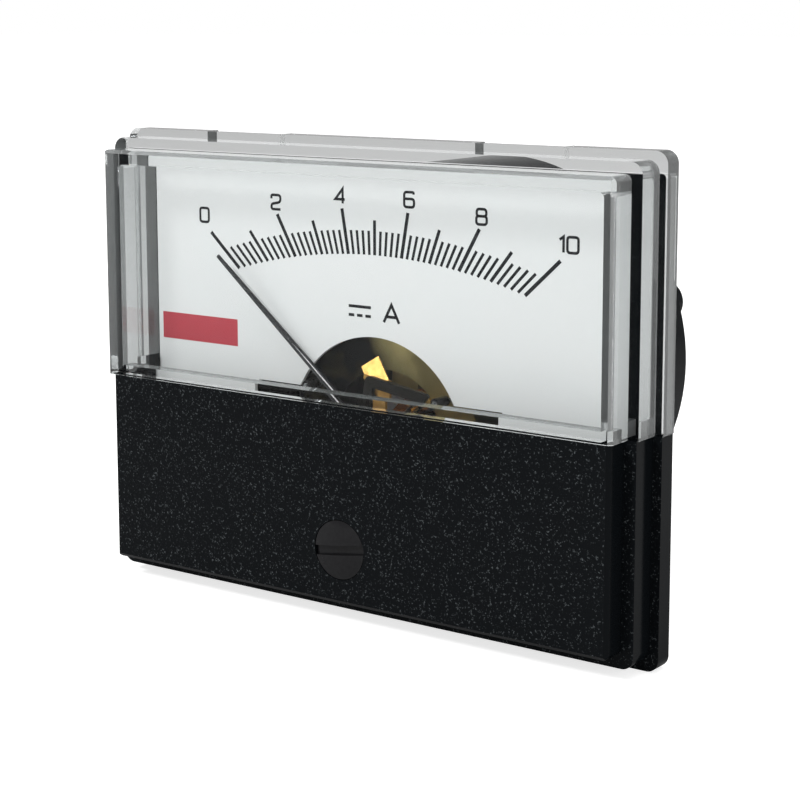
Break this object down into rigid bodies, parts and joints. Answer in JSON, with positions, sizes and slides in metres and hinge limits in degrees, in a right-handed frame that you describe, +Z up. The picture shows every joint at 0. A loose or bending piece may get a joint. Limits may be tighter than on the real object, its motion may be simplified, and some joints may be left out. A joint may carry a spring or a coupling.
{
  "type": "analog panel meter",
  "caption": "Rectangular moving-coil panel meter with a clear stepped window, a flat-arc dial, a black lower cover and a round barrel behind the panel.",
  "frame": {"origin": "centre of the flange's rear face, on the panel's front surface, which is also the centre of the mounting studs and of the barrel", "axes": "+Z up, the dial faces -Y, +Y runs back through the panel along the barrel, +X to the viewer's right"},
  "size_m": [0.08, 0.052, 0.0589],
  "materials": {
    "body_black": "fine moulded black",
    "lower_black": "fine sparkling grain on the faces",
    "clear": "clear moulded plastic, polished",
    "gloss_black": "polished",
    "dial_white": "satin white paint with black print",
    "pointer_black": "satin black paint",
    "lever_black": "blackened",
    "brass": "polished",
    "gold_zinc": "yellow passivated steel",
    "steel": "zinc plated",
    "magnet": "ground",
    "aluminium": "thin strip",
    "copper": "enamelled wire",
    "bronze": "spring strip",
    "sleeve": "soft tube",
    "manganin": "rolled strip"
  },
  "bodies": {
    "meter": {"base_case": "body_black", "window_cover": "clear", "lower_cover": "lower_black", "cover_screws": "steel", "dial_plate": "dial_white", "dial_screws": "steel", "stop_pins": "steel", "stop_sleeves": "sleeve", "yoke_ring": "gold_zinc", "core_magnet": "magnet", "core_supports": "brass", "movement_plate": "gold_zinc", "movement_screws": "steel", "front_bridge": "brass", "rear_bridge": "brass", "clamp_studs": "steel", "front_spacers": "brass", "rear_spacers": "brass", "clamp_nuts": "steel", "front_jewel_screw": "brass", "rear_jewel_screw": "brass", "jewel_nuts": "brass", "rear_hairspring": "bronze", "shunt_strip": "manganin", "terminal_studs": "brass", "terminal_inner_nuts": "brass", "terminal_tags": "steel", "terminal_washers": "steel", "terminal_outer_nuts": "brass", "mounting_studs": "steel"},
    "adjuster": {"zero_adjuster": "gloss_black"},
    "lever": {"zero_lever": "lever_black", "front_hairspring": "bronze"},
    "moving_element": {"pointer": "pointer_black", "balance_weights": "bronze", "coil_former": "aluminium", "coil_winding": "copper", "front_pivot": "steel", "rear_pivot": "steel"}
  },
  "joints": [
    {"name": "zero_adjust", "type": "hinge", "parent": "meter", "child": "adjuster", "pos_m": [0, -0.0095, -0.0199], "axis": [0, 1, 0], "range_deg": [-30, 30]},
    {"name": "lever_turn", "type": "hinge", "parent": "meter", "child": "lever", "pos_m": [0, -0.0044, -0.0079], "axis": [0, 1, 0], "range_deg": [-3.2, 3.2]},
    {"name": "pointer_swing", "type": "hinge", "parent": "lever", "child": "moving_element", "pos_m": [0, 0, -0.0079], "axis": [0, 1, 0], "range_deg": [-1.5, 96.1], "stiffness_Nm_per_rad": 0.00002}
  ],
  "couplings": [
    {"joint": "zero_adjust", "follows": "lever_turn", "ratio": -9.3}
  ]
}
